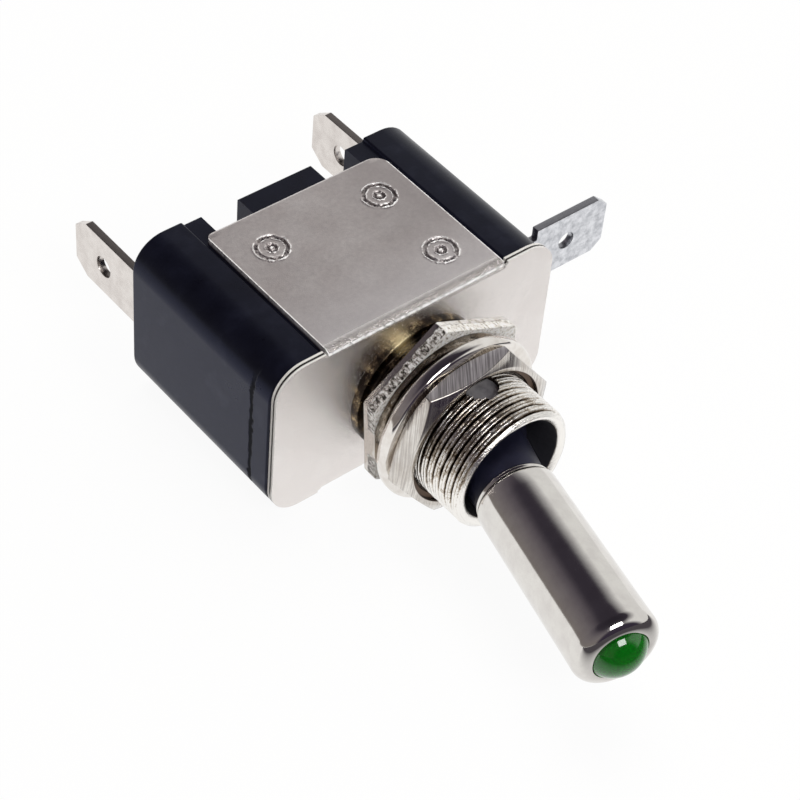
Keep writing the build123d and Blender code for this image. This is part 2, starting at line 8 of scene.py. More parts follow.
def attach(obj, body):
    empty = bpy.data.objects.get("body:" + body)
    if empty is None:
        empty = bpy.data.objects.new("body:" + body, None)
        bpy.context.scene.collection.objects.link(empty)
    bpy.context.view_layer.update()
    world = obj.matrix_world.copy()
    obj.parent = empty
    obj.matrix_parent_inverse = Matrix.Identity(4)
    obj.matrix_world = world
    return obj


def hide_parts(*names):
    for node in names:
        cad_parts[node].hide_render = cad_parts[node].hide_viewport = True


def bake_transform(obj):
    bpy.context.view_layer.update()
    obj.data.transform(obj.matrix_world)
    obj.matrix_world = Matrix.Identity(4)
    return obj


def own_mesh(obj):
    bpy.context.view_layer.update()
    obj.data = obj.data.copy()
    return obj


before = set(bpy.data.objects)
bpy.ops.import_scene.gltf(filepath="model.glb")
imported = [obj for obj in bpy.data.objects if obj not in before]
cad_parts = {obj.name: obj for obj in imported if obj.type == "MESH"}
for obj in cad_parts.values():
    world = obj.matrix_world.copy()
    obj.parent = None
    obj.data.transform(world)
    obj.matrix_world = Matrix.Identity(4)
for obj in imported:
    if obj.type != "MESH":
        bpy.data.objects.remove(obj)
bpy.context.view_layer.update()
print("frame loaded")

mm = 0.001
scene = bpy.context.scene

# The bushing's frame has its Z along the row's +Y, the lever's has its Z from the pivot to the lamp
leverTilt = radians(13.5)
pivotAt = Vector((0, -4.3, 0))
bushingFrame = Matrix(((1, 0, 0, 0), (0, 0, 1, 0), (0, -1, 0, 0), (0, 0, 0, 1)))
leverFrame = Matrix((
    (cos(leverTilt), 0, -sin(leverTilt), pivotAt.x),
    (-sin(leverTilt), 0, -cos(leverTilt), pivotAt.y),
    (0, 1, 0, pivotAt.z),
    (0, 0, 0, 1),
))


def toLinear(code):
    parts = [int(code[i:i + 2], 16) / 255 for i in (1, 3, 5)]
    parts = [p / 12.92 if p <= 0.04045 else ((p + 0.055) / 1.055) ** 2.4 for p in parts]
    return (*parts, 1)


def addNode(tree, kind, inputs=(), output=0, stops=()):
    # One node, such as "Math ADD": its inputs from sockets, hex colours or values, a ramp's stops.
    # Numbered inputs and outputs leave out the ones that its setting hides
    kind, *setting = kind.split()
    made = tree.nodes.new("ShaderNode" + kind)
    if setting:
        setattr(made, "data_type" if kind == "Mix" else "operation", setting[0])
    inward = [socket for socket in made.inputs if socket.enabled]
    outward = [socket for socket in made.outputs if socket.enabled]
    for key, value in inputs.items() if isinstance(inputs, dict) else enumerate(inputs):
        socket = made.inputs[key] if isinstance(key, str) else inward[key]
        if isinstance(value, bpy.types.NodeSocket):
            tree.links.new(value, socket)
        else:
            socket.default_value = toLinear(value) if isinstance(value, str) else value
    for count, (place, tone) in enumerate(stops):
        points = made.color_ramp.elements
        point = points[count] if count < 2 else points.new(place)
        point.position = place
        point.color = toLinear(tone)
    return outward[output] if outward and output is not None else outward


def newMaterial(name):
    # An empty material, and the call that adds a node to it
    material = bpy.data.materials.new(name)
    material.use_nodes = True
    material.node_tree.nodes.clear()
    return material, partial(addNode, material.node_tree)


def newObject(name, data):
    made = bpy.data.objects.new(name, data)
    scene.collection.objects.link(made)
    return made


def pieceFrom(name, build, place=None, sharp=32):
    # A bmesh in millimetres becomes an object in metres, smooth but for its sharp edges
    mesh = bpy.data.meshes.new(name)
    bmesh.ops.recalc_face_normals(build, faces=build.faces)
    build.to_mesh(mesh)
    build.free()
    if place:
        mesh.transform(place)
    mesh.transform(Matrix.Scale(mm, 4))
    mesh.shade_smooth()
    mesh.set_sharp_from_angle(angle=radians(sharp))
    return newObject(name, mesh)


def settle(piece, sharp=None):
    # The piece's modifiers become part of its mesh
    view = bpy.context.evaluated_depsgraph_get()
    mesh = bpy.data.meshes.new_from_object(piece.evaluated_get(view))
    piece.modifiers.clear()
    piece.data = mesh
    if sharp is not None:
        mesh.shade_smooth()
        mesh.set_sharp_from_angle(angle=radians(sharp))


def combine(piece, tool, operation="DIFFERENCE", sharp=None):
    step = piece.modifiers.new("combine", "BOOLEAN")
    step.operation = operation
    step.object = tool
    step.solver = "EXACT"
    settle(piece, sharp)
    bpy.data.objects.remove(tool)


def easeEdges(piece, width, steps=2, angle=30):
    step = piece.modifiers.new("ease", "BEVEL")
    step.width = width * mm
    step.segments = steps
    step.limit_method = "ANGLE"
    step.angle_limit = radians(angle)
    step.miter_outer = "MITER_ARC"
    settle(piece, angle)


def evenShade(piece, angle=30):
    # Flat faces stay flat and only the narrow eased edges turn the light
    piece.data.shade_smooth()
    piece.data.set_sharp_from_angle(angle=radians(angle))
    step = piece.modifiers.new("normals", "WEIGHTED_NORMAL")
    step.keep_sharp = True
    settle(piece)
    return piece


def arcPoints(cx, cy, radius, start, end, steps=6):
    # Points along an arc between two angles in degrees
    angles = [radians(start + (end - start) * i / steps) for i in range(steps + 1)]
    return [(cx + radius * cos(a), cy + radius * sin(a)) for a in angles]


def disc(radius, steps=48, centre=(0, 0)):
    return arcPoints(*centre, radius, 0, 360, steps)[:-1]


def roundedBox(width, height, radius, steps=10):
    # A rectangle with round corners, as points going round it
    points = []
    for turn, (sx, sy) in enumerate(((1, 1), (-1, 1), (-1, -1), (1, -1))):
        x, y = sx * (width / 2 - radius), sy * (height / 2 - radius)
        points += arcPoints(x, y, radius, 90 * turn, 90 * turn + 90, steps)
    return points


def slab(name, outline, low, high, axis):
    # An outline made solid between two places on an axis
    at = "XYZ".index(axis)
    build = bmesh.new()
    lower, upper = (
        [build.verts.new((*spot[:at], h, *spot[at:])) for spot in outline] for h in (low, high)
    )
    build.faces.new(lower)
    build.faces.new(upper)
    for i in range(len(outline)):
        j = (i + 1) % len(outline)
        build.faces.new((lower[i], lower[j], upper[j], upper[i]))
    return pieceFrom(name, build)


def block(name, x, y, z):
    outline = [(x[0], y[0]), (x[1], y[0]), (x[1], y[1]), (x[0], y[1])]
    return slab(name, outline, *z, "Z")


def ringAt(build, radius, height, steps, change=None):
    # One ring of vertices round Z, or its one point on the axis
    if radius < 1e-6:
        return [build.verts.new((0, 0, height))] * steps
    ring = []
    for i in range(steps):
        a = 2 * pi * i / steps
        r, h = change(radius, height, a) if change else (radius, height)
        ring.append(build.verts.new((r * cos(a), r * sin(a), h)))
    return ring


def skinRings(build, rings, closed):
    # Faces between neighbouring rings of vertices, triangles where a ring is one point
    count = len(rings)
    for k in range(count if closed else count - 1):
        one, two = rings[k], rings[(k + 1) % count]
        for i in range(len(one)):
            j = (i + 1) % len(one)
            corners = list(dict.fromkeys((one[i], one[j], two[j], two[i])))
            if len(corners) > 2:
                build.faces.new(corners)


def turned(name, profile, place, steps=128, closed=True, change=None, sharp=32):
    # A profile of (radius, height) turned about Z; change may move a point by its angle
    build = bmesh.new()
    skinRings(build, [ringAt(build, r, h, steps, change) for r, h in profile], closed)
    return pieceFrom(name, build, place, sharp)


def dress(piece, material, body, node):
    piece.data.materials.clear()
    piece.data.materials.append(material)
    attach(piece, body)
    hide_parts(node)


# Bracket: one sheet folded over the housing, with its claws and three stamped rings

bracketSizes = {
    "front": 4.05, "sheet": 0.65, "ears": (30.4, 16.9, 3), "earShift": 0.2, "strapHalf": 9.6,
    "top": 8.5, "rear": 21.45, "outerBend": 0.75, "innerBend": 0.1, "corners": (0.7, 1.5),
    "relief": (9.9, 8.15), "clawAt": 6, "clawHalf": 1.85, "clawEnd": 5.4, "clawRear": 21.7,
    "hole": 5.63, "edge": 0.13, "ringHole": 1.9,
    "ringSpots": ((-5.8, 17), (6.05, 17.05), (6, 8.5)),
}


def stampedRing(x, y, top, outer):
    # The punch left a deep ragged line and pushed sharp lips up beside it
    profile = [
        (0, 0.06), (0.14, 0.05), (0.22, -0.02), (0.3, -0.11), (0.44, -0.12), (0.53, -0.06),
        (0.6, 0.05), (0.68, 0), (0.8, 0), (1, 0), (1.1, 0.01), (1.16, 0.06), (1.22, 0.01),
        (1.27, -0.1), (1.34, -0.12), (1.46, -0.12), (1.53, -0.08), (1.57, 0.02), (1.63, 0.1),
        (1.69, 0.03), (1.75, 0), (outer, 0),
    ]
    seed = x * 3.7 + y

    def ragged(r, h, a):
        spot = Vector((cos(a) * 1.9 * r, sin(a) * 1.9 * r, seed))
        lift = noise.noise(spot) + 0.7 * noise.noise(spot * 2.7)
        if 0.1 < r < 1.74:
            r += 0.07 * noise.noise(Vector((cos(a) * 4, sin(a) * 4, seed + 9)))
        if h > 0.005:
            return r, max(0, h * (0.7 + 1.6 * lift))
        return r, h * max(0.25, 0.9 + 1.1 * lift)

    return turned("ring", profile, Matrix.Translation((x, y, top)), 96, False, ragged, 60)


def makeBracket():
    s = bracketSizes
    front, sheet, top, rear, half = (s[k] for k in ("front", "sheet", "top", "rear", "strapHalf"))
    inside, back = top - sheet, front + sheet
    outer, inner = s["outerBend"], s["innerBend"]
    upper = [(rear, top)] + arcPoints(front + outer, top - outer, outer, 90, 180, 9)
    lower = [(rear, inside)] + arcPoints(back + inner, inside - inner, inner, 90, 180, 3)
    section = upper + [(y, -z) for y, z in upper[::-1] + lower] + lower[::-1]
    bracket = slab("bracket", section, -half, half, "X")
    beyond = half + 0.01
    left, right = s["corners"]
    plan = [(-beyond, front - 1), (beyond, front - 1)]
    plan += arcPoints(beyond - right, rear - right, right, 0, 90, 8)
    plan += arcPoints(-beyond + left, rear - left, left, 90, 180, 5)
    combine(bracket, slab("plan", plan, -top - 1, top + 1, "Z"), "INTERSECT")
    width, height, corner = s["ears"]
    outline = [(x + s["earShift"], z) for x, z in roundedBox(width, height, corner)]
    ears = slab("ears", outline, front, back, "Y")
    for reach, low in ((half, top - outer), s["relief"]):
        for up in (-1, 1):
            tall = sorted((up * low, up * height))
            combine(ears, block("relief", (-reach, reach), (front - 1, back + 1), tall))
    combine(bracket, ears, "UNION")
    clawRear, clawEnd, bendStart = s["clawRear"], s["clawEnd"], s["clawRear"] - outer
    claw = [(bendStart - sheet, top)] + arcPoints(bendStart, top - outer, outer, 90, 0, 6)
    claw += [(clawRear, clawEnd), (clawRear - sheet, clawEnd), (clawRear - sheet, inside)]
    claw += [(bendStart - sheet, inside)]
    for side in (-1, 1):
        for up in (-1, 1):
            low, high = side * s["clawAt"] - s["clawHalf"], side * s["clawAt"] + s["clawHalf"]
            combine(bracket, slab("claw", [(y, up * z) for y, z in claw], low, high, "X"), "UNION")
    combine(bracket, slab("hole", disc(s["hole"], 96), front - 1, back + 1, "Y"))
    easeEdges(bracket, s["edge"], 3)
    rings = []
    for x, y in s["ringSpots"]:
        circle = disc(s["ringHole"], 96, (x, y))
        combine(bracket, slab("spot", circle, top - 0.2, top + 0.2, "Z"))
        rings.append(stampedRing(x, y, top, s["ringHole"]))
    # The walls and floors of the cut spots go, and the stamped rings take their place
    build = bmesh.new()
    build.from_mesh(bracket.data)
    gone = []
    for face in build.faces:
        at = face.calc_center_median() / mm
        near = any(hypot(at.x - x, at.y - y) < s["ringHole"] + 0.05 for x, y in s["ringSpots"])
        if near and top - 0.25 < at.z < top - 0.01:
            gone.append(face)
    bmesh.ops.delete(build, geom=gone, context="FACES")
    for ring in rings:
        build.from_mesh(ring.data)
        bpy.data.objects.remove(ring)
    build.to_mesh(bracket.data)
    build.free()
    return evenShade(bracket)


# Housing: two mouldings with softened outer edges, hollow where the contacts work

housingSizes = {
    "outline": (30.4, 16.5, 3.2), "seam": 7.05, "rear": 24.35, "front": 4.7, "recessX": 10,
    "recessZ": 7.85, "soft": 0.22, "cavity": (12.4, 5.6), "floor": 19.6, "pocket": (14, 3.25),
    "shoulder": 21.05, "channelAt": 6, "channelHalf": 2, "bladeX": 13.5, "slotHalf": 0.5,
    "ledge": (-4.55, 18.5), "post": (6.09, 7.39, 16.5, 0.65), "notch": (13.9, 10.43, 2.15),
    "tongue": (14.1, 14.95, 9.48, 1.95), "seamGap": 0.004, "rim": (0.1, 1.1),
    "opening": 5.7, "stakeRoom": (6.4, 0.6),
}


def housingBlock(name, low, high, cutLow, cutHigh):
    # Its edges are eased before it is cut at the seam, which so stays sharp
    s = housingSizes
    width, height, corner = s["outline"]
    shell = slab(name, roundedBox(width, height, corner), low, high, "Y")
    for up in (-1, 1):
        tall = sorted((up * s["recessZ"], up * height))
        combine(shell, block("recess", (-s["recessX"], s["recessX"]), (low - 1, high + 1), tall))
    easeEdges(shell, s["soft"], 3)
    combine(shell, block("beyond", (-width, width), (cutLow, cutHigh), (-height, height)))
    return shell


def makeHousingRear():
    s = housingSizes
    seam, rear, floor = s["seam"], s["rear"], s["floor"]
    shell = housingBlock("housingRear", seam - 1, rear, seam - 2, seam + s["seamGap"])
    for x, z in (s["cavity"], s["pocket"]):
        combine(shell, block("cavity", (-x, x), (seam - 1, floor), (-z, z)))
    x, z = s["cavity"]
    right, front = s["ledge"]
    combine(shell, block("ledge", (-x - 0.4, right), (front, floor + 0.3), (-z, z)), "UNION")
    left, right, front, half = s["post"]
    combine(shell, block("post", (left, right), (front, floor + 0.9), (-half, half)), "UNION")
    cuts = (
        (s["bladeX"], s["slotHalf"], seam + 2, s["pocket"][1]),
        (s["channelAt"], s["channelHalf"], s["shoulder"], 9),
    )
    for side in (-1, 1):
        for at, half, front, deep in cuts:
            x = sorted((side * (at - half), side * (at + half)))
            combine(shell, block("slot", x, (front, rear + 1), (-deep, deep)))
    notchX, notchEnd, half = s["notch"]
    combine(shell, block("notch", (notchX, 16), (seam - 1, notchEnd), (-half, half)))
    return evenShade(shell)


def makeHousingFront():
    s = housingSizes
    front, seam = s["front"], s["seam"]
    cover = housingBlock("housingFront", front + 0.01, seam + 1, seam - s["seamGap"], seam + 2)
    outside, inside = s["rim"]
    x, z = (size - outside for size in s["cavity"])
    rim = block("rim", (-x, x), (seam - 0.2, seam + 1.2), (-z, z))
    x, z = (size - inside for size in s["cavity"])
    combine(rim, block("gap", (-x, x), (seam - 0.1, seam + 2), (-z, z)))
    combine(cover, rim, "UNION")
    left, right, deep, half = s["tongue"]
    combine(cover, block("tongue", (left, right), (seam - 0.2, deep), (-half, half)), "UNION")
    combine(cover, slab("opening", disc(s["opening"], 96), front - 1, seam + 3, "Y"))
    radius, deep = s["stakeRoom"]
    combine(cover, slab("stakeRoom", disc(radius, 96), front - 1, front + deep, "Y"))
    return evenShade(cover)


# Bushing: a helical thread cut down to a chamfered mouth, riveted behind the plate

bushingSizes = {
    "mouth": -9.4, "threadEnd": 3.25, "crest": 6.2, "depth": 0.36, "pitch": 0.8, "steps": 192,
    "bore": 5, "boreLip": 0.45, "mouthRadius": 5.72, "collar": 6.8, "plate": (4.05, 4.7),
    "spigot": 5.6, "stake": (6.3, 5.2), "pinHole": 1.5, "runOut": 1.2, "worn": 0.03, "rubbed": 0.02,
}
# A rolled thread has wide worn crests with a seam along their middle
threadShape = (
    (0, 1), (0.05, 0.93), (0.1, 0.66), (0.16, 0.25), (0.21, 0.04), (0.26, 0), (0.38, 0.02),
    (0.44, 0.22), (0.5, 0.46), (0.56, 0.22), (0.62, 0.02), (0.74, 0), (0.79, 0.04), (0.84, 0.25),
    (0.9, 0.66), (0.95, 0.93), (1, 1),
)
# Each nick has its height, its angle, its depth and the angle it spreads over
threadNicks = (
    (-9, 103, 0.26, 5), (-7.9, 100, 0.2, 4), (-8.2, -60, 0.12, 6), (-6.9, -150, 0.1, 5),
    (-9.1, 60, 0.08, 9), (-8.7, 20, 0.07, 7), (-7.2, 35, 0.06, 5),
)


def threadRadius(height, angle):
    s = bushingSizes
    phase = (height / s["pitch"] - angle / (2 * pi)) % 1
    for (p, d), (q, e) in zip(threadShape, threadShape[1:]):
        if p <= phase <= q:
            cut = d + (e - d) * (phase - p) / (q - p)
    runOut = min(1, max(0, (s["threadEnd"] - height) / s["runOut"]))
    radius = s["crest"] - s["depth"] * cut * runOut
    lowest = s["crest"] - s["depth"]
    worn = noise.noise(Vector((cos(angle) * 5, sin(angle) * 5, height * 2.6)))
    worn += 0.8 * noise.noise(Vector((cos(angle) * 16, sin(angle) * 16, height * 4.5)))
    radius += s["worn"] * worn * (radius - lowest) / s["depth"] - s["rubbed"]
    for at, turn, deep, wide in threadNicks:
        away = (angle * 180 / pi - turn + 180) % 360 - 180
        near = max(0, 1 - (away / wide) ** 2) * max(0, 1 - ((height - at) / 0.35) ** 2)
        radius -= deep * near
    return min(radius, s["mouthRadius"] + (height - s["mouth"]) * 0.98, s["crest"])


def makeBushing():
    s = bushingSizes
    build = bmesh.new()
    low, high, pitch, steps = s["mouth"], s["threadEnd"], s["pitch"], s["steps"]
    rowsPerTurn = len(threadShape) - 1
    known = {}

    def vertexAt(row, turn):
        # Rows follow the helix, and those past an end share its vertices
        whole, part = divmod(row, rowsPerTurn)
        height = min(high, max(low, (whole + threadShape[part][0] + turn / steps) * pitch))
        key = (turn % steps, round(height, 5))
        if key not in known:
            angle = 2 * pi * (turn % steps) / steps
            radius = threadRadius(height, angle)
            known[key] = build.verts.new((radius * cos(angle), radius * sin(angle), height))
        return known[key]

    first, last = int(low / pitch - 3) * rowsPerTurn, int(high / pitch + 2) * rowsPerTurn
    for row in range(first, last):
        for turn in range(steps):
            around = ((row, turn), (row, turn + 1), (row + 1, turn + 1), (row + 1, turn))
            corners = list(dict.fromkeys(vertexAt(r, t) for r, t in around))
            if len(corners) > 2:
                build.faces.new(corners)
    start, end = s["plate"]
    stakeRadius, stakeEnd = s["stake"]
    bore, lip, collar, spigot = s["bore"], s["boreLip"], s["collar"], s["spigot"]
    inner = [
        (collar - 0.1, high), (collar, high + 0.1), (collar, start), (spigot, start), (spigot, end),
        (stakeRadius, end), (stakeRadius - 0.2, stakeEnd), (bore + 0.1, stakeEnd),
        (bore, stakeEnd - 0.1), (bore, low + lip), (bore + lip, low),
    ]
    rings = [[vertexAt(last, turn) for turn in range(steps)]]
    rings += [ringAt(build, r, h, steps) for r, h in inner]
    rings.append([vertexAt(first, turn) for turn in range(steps)])
    skinRings(build, rings, False)
    bushing = pieceFrom("bushing", build, bushingFrame, 50)
    hole = slab("pinHole", disc(s["pinHole"], 48, (0, pivotAt.y)), -8, 8, "Z")
    combine(bushing, hole, sharp=50)
    return bushing


# Nuts and washer

backNutSizes = {
    "flats": 15.5, "round": 0.5, "turn": 4.9, "front": 0, "rear": 1.45, "hole": 6.27, "face": 9.5,
    "lip": 0.12, "sunk": (6.4, 0), "aside": (0.3, -0.15), "edge": 0.06,
}
frontNutSizes = {
    "flats": 14.8, "round": 0.1, "turn": -22.6, "front": -4.55, "rear": -2.4, "hole": 6.27,
    "face": 7.29, "lip": 0.15, "sunk": (6.85, 0.5), "aside": (0, 0), "edge": 0.05,
}
washerSizes = {
    "radius": 8.35, "hole": 6.35, "front": -2.4, "rear": -1.15, "edge": 0.45, "lip": 0.12,
}


def hexagonPoints(flats, rounding, turn, perFlat=16, perCorner=4):
    # Points round a hexagon whose corners are rounded, in the bushing's frame
    reach = flats / sqrt(3) - rounding / cos(pi / 6)
    arcs = []
    for k in range(6):
        t = -turn - 90 + 60 * k
        middle = reach * cos(radians(t)), reach * sin(radians(t))
        arcs.append(arcPoints(*middle, rounding, t - 30, t + 30, perCorner))
    points = []
    for arc, following in zip(arcs, arcs[1:] + arcs[:1]):
        (x, y), (toX, toY) = arc[-1], following[0]
        parts = [i / perFlat for i in range(1, perFlat)]
        points += arc + [(x + (toX - x) * f, y + (toY - y) * f) for f in parts]
    return points


def makeNut(name, s):
    # Where a nut is chamfered, the cone meets each flat in a curve; a sunk face clears the thread
    slope = tan(radians(30))
    asideX, asideY = s["aside"]
    hole, lip, front, rear = s["hole"], s["lip"], s["front"], s["rear"]
    sunkRadius, sunk = s["sunk"]
    build = bmesh.new()
    columns = []
    for x, y in hexagonPoints(s["flats"], s["round"], s["turn"]):
        full, a = hypot(x + asideX, y + asideY), atan2(y + asideY, x + asideX)
        deep = max(0, (full - s["face"]) * slope)
        face = min(full, s["face"])
        rows = (
            (hole, front + sunk + lip), (hole + lip, front + sunk), (sunkRadius, front + sunk),
            (sunkRadius + 0.001, front), (face - 0.02, front), (full - 0.005, front + deep + 0.02),
            (full, (front + rear) / 2), (full - 0.005, rear - deep - 0.02), (face - 0.02, rear),
            (hole + 0.15, rear), (hole, rear - 0.15),
        )
        columns.append([build.verts.new((r * cos(a), r * sin(a), h)) for r, h in rows])
    skinRings(build, list(zip(*columns)), True)
    bmesh.ops.remove_doubles(build, verts=build.verts, dist=0.004)
    nut = pieceFrom(name, build, bushingFrame, 26)
    easeEdges(nut, s["edge"], angle=24)
    return evenShade(nut, 40)


def makeWasher():
    s = washerSizes
    hole, front, rear, edge, lip = (s[key] for key in ("hole", "front", "rear", "edge", "lip"))
    middle = s["radius"] - edge
    profile = [(hole, front + lip), (hole + lip, front)]
    profile += arcPoints(middle, front + edge, edge, -90, 0, 8)
    profile += arcPoints(middle, rear - edge, edge, 0, 90, 8)
    profile += [(hole + lip, rear), (hole, rear - lip)]
    return turned("washer", profile, bushingFrame, steps=160, sharp=40)


# Terminals: three stamped blades with bevelled ends and a hole each

bladeSizes = {
    "half": 3.15, "thick": 0.8, "end": 35.2, "tip": (1.7, 1.2), "hole": 1.05, "holeFromEnd": 4.4,
    "x": 13.5, "edge": 0.09,
}
loadSizes = {"front": 17.699, "tab": (-13.9, -4.55), "tabHalf": 2.5}
powerSizes = {"front": 18.8, "tab": (-2.4, 13.9), "tabHalf": 2.5, "window": (5.99, 7.49, 0.75)}
sideBladeSizes = {
    "front": 9.58, "neck": (10.7, 19), "neckHalf": 2.05, "end": 27.7, "tip": (1.2, 1),
    "hole": 22.9, "holeRadius": 0.9, "foot": 11.98,
}


def bladeOutline(start, end, half, tip):
    along, side = tip
    return [
        (start, -half), (end - along, -half), (end, -half + side), (end, half - side),
        (end - along, half), (start, half),
    ]


def finishBlade(blade, radius, place, low, high, axis):
    combine(blade, slab("hole", disc(radius, 48, (place, 0)), low - 1, high + 1, axis))
    easeEdges(blade, bladeSizes["edge"])
    return evenShade(blade)


def makeRearBlade(name, side, sizes):
    s = bladeSizes
    front, tabHalf, end = sizes["front"], sizes["tabHalf"], s["end"]
    low = side * s["x"] - s["thick"] / 2
    high = low + s["thick"]
    blade = slab(name, bladeOutline(front, end, s["half"], s["tip"]), low, high, "X")
    tab = block("tab", sizes["tab"], (front, front + s["thick"]), (-tabHalf, tabHalf))
    combine(blade, tab, "UNION")
    if "window" in sizes:
        left, right, half = sizes["window"]
        combine(blade, block("window", (left, right), (front - 1, front + 2), (-half, half)))
    return finishBlade(blade, s["hole"], end - s["holeFromEnd"], low, high, "X")


def makeSideBlade():
    s = sideBladeSizes
    thick = bladeSizes["thick"]
    front, rear = s["front"], s["front"] + thick
    start, shoulder = s["neck"]
    half = s["neckHalf"]
    outline = bladeOutline(shoulder, s["end"], bladeSizes["half"], s["tip"]) + [
        (shoulder, half), (start, half), (start, -half), (shoulder, -half)
    ]
    blade = slab("sideBlade", outline, front, rear, "Y")
    foot = block("foot", (start, start + thick), (front, s["foot"]), (-half, half))
    combine(blade, foot, "UNION")
    return finishBlade(blade, s["holeRadius"], s["hole"], front, rear, "Y")


# Lever: a tapered tube rolled in at its root, and the lamp in its rounded nose

sleeveSizes = {
    "root": 7, "tip": 25.45, "rootRadius": 3.68, "tipRadius": 3.91, "bore": 3, "lampHole": 2.51,
    "wall": 1.2, "nose": 1.25, "rootLong": 0.95,
    "rootSteps": (
        (0.42, 0), (0.3, 0.04), (0.23, 0.12), (0.22, 0.22), (0.26, 0.3), (0.29, 0.36),
        (0.26, 0.42), (0.17, 0.52), (0.09, 0.64), (0.03, 0.78), (0, 0.95),
    ),
}
lampSizes = {"radius": 2.475, "base": 25.45, "dome": 1.38, "length": 8.6, "flange": (2.9, 1)}


def makeSleeve():
    s = sleeveSizes
    root, tip, nose, bore, hole = (s[key] for key in ("root", "tip", "nose", "bore", "lampHole"))
    narrow, wide = s["rootRadius"], s["tipRadius"]
    rolled = root + s["rootLong"]
    inner = tip - s["wall"]
    heights = [rolled + (tip - nose - rolled) * i / 12 for i in range(12)]
    taper = [(narrow + (wide - narrow) * (h - root) / (tip - root), h) for h in heights]
    profile = [(bore, root + 0.1), (bore + 0.06, root)]
    profile += [(taper[0][0] - inward, root + up) for inward, up in s["rootSteps"]] + taper[1:]
    profile += arcPoints(wide - nose, tip - nose, nose, 0, 90, 16)
    profile += [(hole + 0.04, tip - 0.01), (hole, tip - 0.08), (hole, inner), (bore, inner)]
    return turned("sleeve", profile, leverFrame, steps=192, sharp=55)


def makeLamp():
    s = lampSizes
    radius, dome = s["radius"], s["dome"]
    flangeRadius, flangeThick = s["flange"]
    top = s["base"] + dome
    back = top - s["length"]
    cap = (radius ** 2 + dome ** 2) / (2 * dome)
    widest = atan2(radius, cap - dome)
    angles = [widest * i / 20 for i in range(21)]
    profile = [(cap * sin(a), top - cap + cap * cos(a)) for a in angles]
    profile += [(radius, back + flangeThick), (flangeRadius, back + flangeThick)]
    profile += [(flangeRadius, back), (0, back)]
    return turned("lamp", profile, leverFrame, steps=96, closed=False, sharp=40)


# Wires: from the lamp's legs to the resistor and the side blade's root

wireSizes = {
    "radius": 0.3, "bend": 0.6, "step": 0.2, "sides": 14, "follow": 0, "stay": 2,
    "anode": (
        (-1.011, 0.056, -1), (-2.411, 2.656, -1.8), (-4, 5.3, -2.5), (-5.4, 8.2, -2.4),
        (-6.1, 9.9, -1.4), (-6.5, 9.9, 0),
    ),
    "cathode": (
        (-1.011, 0.056, 1), (-2.411, 2.656, 1.6), (-3.2, 5.3, 2.5), (-1.6, 8.75, 3.9),
        (8.1, 8.75, 3.9), (11.3, 8.88, 1.2), (11.3, 9.58, 1.2),
    ),
}


def wirePath(corners):
    # Straight runs with their corners rounded, at even steps
    s = wireSizes
    points = [Vector(corner) for corner in corners]
    line = [points[0]]
    for before, corner, after in zip(points, points[1:], points[2:]):
        a, b = (before - corner).normalized(), (after - corner).normalized()
        reach = s["bend"] / max(0.05, abs((a - b).length / max(1e-6, (a + b).length)))
        reach = min(reach, 0.45 * min((before - corner).length, (after - corner).length))
        enter, leave = corner + a * reach, corner + b * reach
        for t in (i / 8 for i in range(9)):
            line.append(enter * (1 - t) ** 2 + corner * 2 * t * (1 - t) + leave * t ** 2)
    line.append(points[-1])
    even = []
    for a, b in zip(line, line[1:]):
        parts = max(1, round((b - a).length / s["step"]))
        even += [a.lerp(b, i / parts) for i in range(parts)]
    return even + [line[-1]]


def makeTube(name, path, radius, sides):
    # A round wire along a path, with its section kept from twisting
    side = Vector((0, 0, 1))
    angles = [2 * pi * k / sides for k in range(sides)]
    build = bmesh.new()
    rings = []
    for i, spot in enumerate(path):
        ahead = (path[min(i + 1, len(path) - 1)] - path[max(i - 1, 0)]).normalized()
        side = (side - ahead * side.dot(ahead)).normalized()
        other = ahead.cross(side)
        around = [spot + (side * cos(a) + other * sin(a)) * radius for a in angles]
        rings.append([build.verts.new(point) for point in around])
    skinRings(build, rings, False)
    build.faces.new(reversed(rings[0]))
    build.faces.new(rings[-1])
    return evenShade(pieceFrom(name, build), 50)


# Plunger spring: a coil from its foot to its seat in the lever

springSizes = {
    "seat": 3.6, "foot": 14.55, "wire": 0.3, "diameter": 2.1, "turns": 9, "steps": 24, "sides": 10,
    "stroke": 1,
}


def makeSpring():
    s = springSizes
    half = s["wire"] / 2
    radius = s["diameter"] / 2 - half
    low, high = s["foot"] - half, s["seat"] + half
    count = s["turns"] * s["steps"]
    path = []
    for i in range(count + 1):
        a = 2 * pi * i / s["steps"]
        height = -low + (low - high) * i / count
        path.append(leverFrame @ Vector((radius * cos(a), radius * sin(a), height)))
    return makeTube("plungerSpring", path, half, s["sides"])


# Materials: each is named for what the real one is. A noise takes 1 / its size, its detail and its
# roughness; where the real grain is too fine to show, it is drawn as coarse as it needs to show

